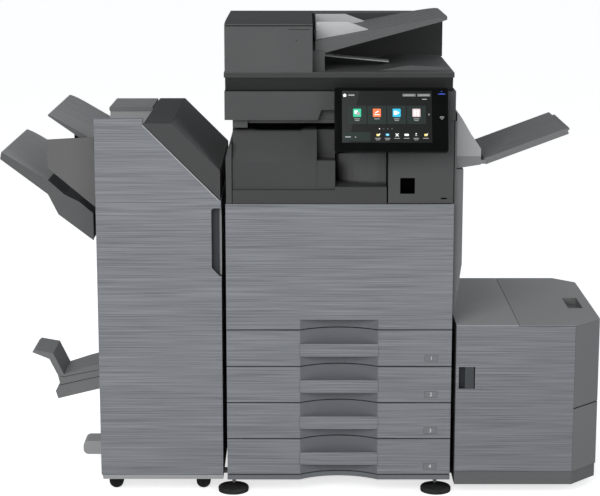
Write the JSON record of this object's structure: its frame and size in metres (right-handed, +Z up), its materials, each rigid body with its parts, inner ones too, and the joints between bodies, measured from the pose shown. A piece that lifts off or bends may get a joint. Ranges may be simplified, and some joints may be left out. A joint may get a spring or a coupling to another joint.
{
  "type": "photocopier",
  "caption": "Floor-standing photocopier with document feeder, tilting touch panel, paper drawers, side paper cabinet and a stapling finisher with delivery trays.",
  "frame": {"origin": "bottom centre of the whole machine's box, on the floor", "axes": "+Z up, +X to the operator's right along the row of units, -Y towards the operator"},
  "size_m": [1.566, 0.7254, 1.254],
  "materials": {
    "zinc_steel": "satin zinc",
    "black_plastic": "fine grain",
    "dark_trim": "fine grain",
    "grey_cover": "fine grain",
    "brushed_panel": "horizontal brushed-look stripes",
    "charcoal": "fine grain",
    "charcoal_light": "fine grain",
    "clear_glass": "clear",
    "toner_plastic": "satin",
    "engine_plastic": "satin",
    "rubber": "matt",
    "tray_grey": "fine grain",
    "pale_grey": "fine grain",
    "gloss_black": "polished",
    "screen_glass": "dark",
    "warm_grey": "fine grain",
    "green_grey": "fine grain"
  },
  "bodies": {
    "main_unit": {"base_frame": "zinc_steel", "leveling_feet": "black_plastic", "base_skirt": "dark_trim", "left_cover": "grey_cover", "right_cover": "grey_cover", "rear_cover": "grey_cover", "power_inlet": "black_plastic", "upper_housing": "charcoal", "exit_tray": "charcoal", "relay_cover": "charcoal", "right_column": "charcoal", "scanner_case": "charcoal_light", "platen_glass": "clear_glass", "toner_bottles": "toner_plastic", "drum_units": "engine_plastic", "transfer_belt": "black_plastic", "fuser": "zinc_steel", "panel_bracket": "black_plastic"},
    "scan_carriage": {"scan_carriage": "black_plastic"},
    "front_cover": {"front_cover": "brushed_panel"},
    "feeder": {"feeder_base": "charcoal", "feeder_cover": "charcoal", "feeder_housing": "charcoal"},
    "feeder_top_cover": {"feeder_top_cover": "charcoal_light"},
    "feed_roller": {"feed_roller": "rubber"},
    "document_tray": {"document_tray": "tray_grey"},
    "document_guide_front": {"document_guide_front": "pale_grey"},
    "document_guide_rear": {"document_guide_rear": "pale_grey"},
    "exit_stopper": {"exit_stopper": "pale_grey"},
    "control_panel": {"control_panel": "gloss_black", "panel_glass": "screen_glass"},
    "right_door": {"right_door": "grey_cover", "bypass_hub": "pale_grey"},
    "bypass_tray": {"bypass_tray": "tray_grey"},
    "bypass_extension": {"bypass_extension": "tray_grey"},
    "finisher": {"finisher_cabinet": "charcoal", "slope_cover": "charcoal", "upper_tray": "warm_grey", "guard_plate": "warm_grey", "saddle_tray": "warm_grey"},
    "finisher_door": {"finisher_door": "brushed_panel"},
    "finisher_top_cover": {"finisher_top_cover": "pale_grey"},
    "offset_tray": {"offset_tray": "warm_grey"},
    "finisher_wheels_left": {"finisher_wheels_left": "rubber"},
    "finisher_wheels_right": {"finisher_wheels_right": "rubber"},
    "paper_cabinet": {"lcc_cabinet": "grey_cover", "lcc_front": "brushed_panel", "lcc_top_cover": "green_grey"},
    "lcc_door": {"lcc_door": "green_grey"},
    "lcc_latch": {"lcc_latch": "dark_trim"},
    "lcc_lift_plate": {"lcc_lift_plate": "zinc_steel"},
    "lcc_wheels": {"lcc_wheels": "rubber"},
    "drawer_1": {"drawer_front_1": "brushed_panel", "drawer_box_1": "zinc_steel"},
    "drawer_2": {"drawer_front_2": "brushed_panel", "drawer_box_2": "zinc_steel"},
    "drawer_3": {"drawer_front_3": "brushed_panel", "drawer_box_3": "zinc_steel"},
    "drawer_4": {"drawer_front_4": "brushed_panel", "drawer_box_4": "zinc_steel"}
  },
  "joints": [
    {"name": "scan_carriage_slide", "type": "slide", "parent": "main_unit", "child": "scan_carriage", "axis": [1, 0, 0], "range_m": [0, 0.44]},
    {"name": "front_cover_hinge", "type": "hinge", "parent": "main_unit", "child": "front_cover", "pos_m": [0.092, -0.27328, 0.453], "axis": [1, 0, 0], "range_deg": [0, 85]},
    {"name": "drawer_1_slide", "type": "slide", "parent": "main_unit", "child": "drawer_1", "axis": [0, -1, 0], "range_m": [0, 0.45]},
    {"name": "drawer_2_slide", "type": "slide", "parent": "main_unit", "child": "drawer_2", "axis": [0, -1, 0], "range_m": [0, 0.45]},
    {"name": "drawer_3_slide", "type": "slide", "parent": "main_unit", "child": "drawer_3", "axis": [0, -1, 0], "range_m": [0, 0.45]},
    {"name": "drawer_4_slide", "type": "slide", "parent": "main_unit", "child": "drawer_4", "axis": [0, -1, 0], "range_m": [0, 0.45]},
    {"name": "feeder_hinge", "type": "hinge", "parent": "main_unit", "child": "feeder", "pos_m": [0.092, 0.33472, 1.078], "axis": [-1, 0, 0], "range_deg": [0, 60]},
    {"name": "feeder_top_cover_hinge", "type": "hinge", "parent": "feeder", "child": "feeder_top_cover", "pos_m": [0.092, 0.15872, 1.2338], "axis": [-1, 0, 0], "range_deg": [0, 60]},
    {"name": "feed_roller_spin", "type": "hinge", "parent": "feeder", "child": "feed_roller", "pos_m": [-0.0185, -0.27928, 1.198], "axis": [0, 1, 0], "continuous": true},
    {"name": "document_tray_hinge", "type": "hinge", "parent": "feeder", "child": "document_tray", "pos_m": [0.041, -0.27928, 1.164], "axis": [0, -1, 0], "range_deg": [0, 14]},
    {"name": "exit_stopper_hinge", "type": "hinge", "parent": "feeder", "child": "exit_stopper", "pos_m": [0.0295, -0.27928, 1.1468], "axis": [0, -1, 0], "range_deg": [0, 10]},
    {"name": "document_guide_front_slide", "type": "slide", "parent": "document_tray", "child": "document_guide_front", "axis": [0, 1, 0], "range_m": [0, 0.1]},
    {"name": "document_guide_rear_slide", "type": "slide", "parent": "document_tray", "child": "document_guide_rear", "axis": [0, -1, 0], "range_m": [0, 0.1]},
    {"name": "control_panel_tilt", "type": "hinge", "parent": "main_unit", "child": "control_panel", "pos_m": [0.092, -0.28828, 1.063], "axis": [-1, 0, 0], "range_deg": [-10, 38]},
    {"name": "right_door_hinge", "type": "hinge", "parent": "main_unit", "child": "right_door", "pos_m": [0.391, 0.32572, 0], "axis": [0, 0, 1], "range_deg": [0, 80]},
    {"name": "bypass_tray_hinge", "type": "hinge", "parent": "right_door", "child": "bypass_tray", "pos_m": [0.464, -0.27928, 0.884], "axis": [0, -1, 0], "range_deg": [0, 66]},
    {"name": "bypass_extension_slide", "type": "slide", "parent": "bypass_tray", "child": "bypass_extension", "axis": [0.9367, 0, 0.3502], "range_m": [0, 0.09]},
    {"name": "finisher_dock_slide", "type": "slide", "parent": "main_unit", "child": "finisher", "axis": [-1, 0, 0], "range_m": [0, 0.15]},
    {"name": "finisher_door_hinge", "type": "hinge", "parent": "finisher", "child": "finisher_door", "pos_m": [-0.528, -0.27328, 0], "axis": [0, 0, -1], "range_deg": [0, 90]},
    {"name": "finisher_top_cover_hinge", "type": "hinge", "parent": "finisher", "child": "finisher_top_cover", "pos_m": [0.092, 0.27272, 0.9765], "axis": [-1, 0, 0], "range_deg": [0, 60]},
    {"name": "offset_tray_slide", "type": "slide", "parent": "finisher", "child": "offset_tray", "axis": [0, 0, -1], "range_m": [0, 0.3]},
    {"name": "finisher_wheels_left_spin", "type": "hinge", "parent": "finisher", "child": "finisher_wheels_left", "pos_m": [-0.501, -0.27928, 0.019], "axis": [0, 1, 0], "continuous": true},
    {"name": "finisher_wheels_right_spin", "type": "hinge", "parent": "finisher", "child": "finisher_wheels_right", "pos_m": [-0.268, -0.27928, 0.019], "axis": [0, 1, 0], "continuous": true},
    {"name": "paper_cabinet_dock_slide", "type": "slide", "parent": "main_unit", "child": "paper_cabinet", "axis": [1, 0, 0], "range_m": [0, 0.15]},
    {"name": "lcc_door_hinge", "type": "hinge", "parent": "paper_cabinet", "child": "lcc_door", "pos_m": [0.774, -0.27928, 0.24], "axis": [0, 1, 0], "range_deg": [0, 75]},
    {"name": "lcc_latch_hinge", "type": "hinge", "parent": "paper_cabinet", "child": "lcc_latch", "pos_m": [0.444, -0.27328, 0], "axis": [0, 0, 1], "range_deg": [0, 25], "stiffness_Nm_per_rad": 0.2},
    {"name": "lcc_lift_slide", "type": "slide", "parent": "paper_cabinet", "child": "lcc_lift_plate", "axis": [0, 0, 1], "range_m": [0, 0.33]},
    {"name": "lcc_wheels_spin", "type": "hinge", "parent": "paper_cabinet", "child": "lcc_wheels", "pos_m": [0.731, -0.27928, 0.021], "axis": [0, 1, 0], "continuous": true}
  ],
  "couplings": [
    {"joint": "document_guide_rear_slide", "follows": "document_guide_front_slide", "ratio": 1}
  ]
}
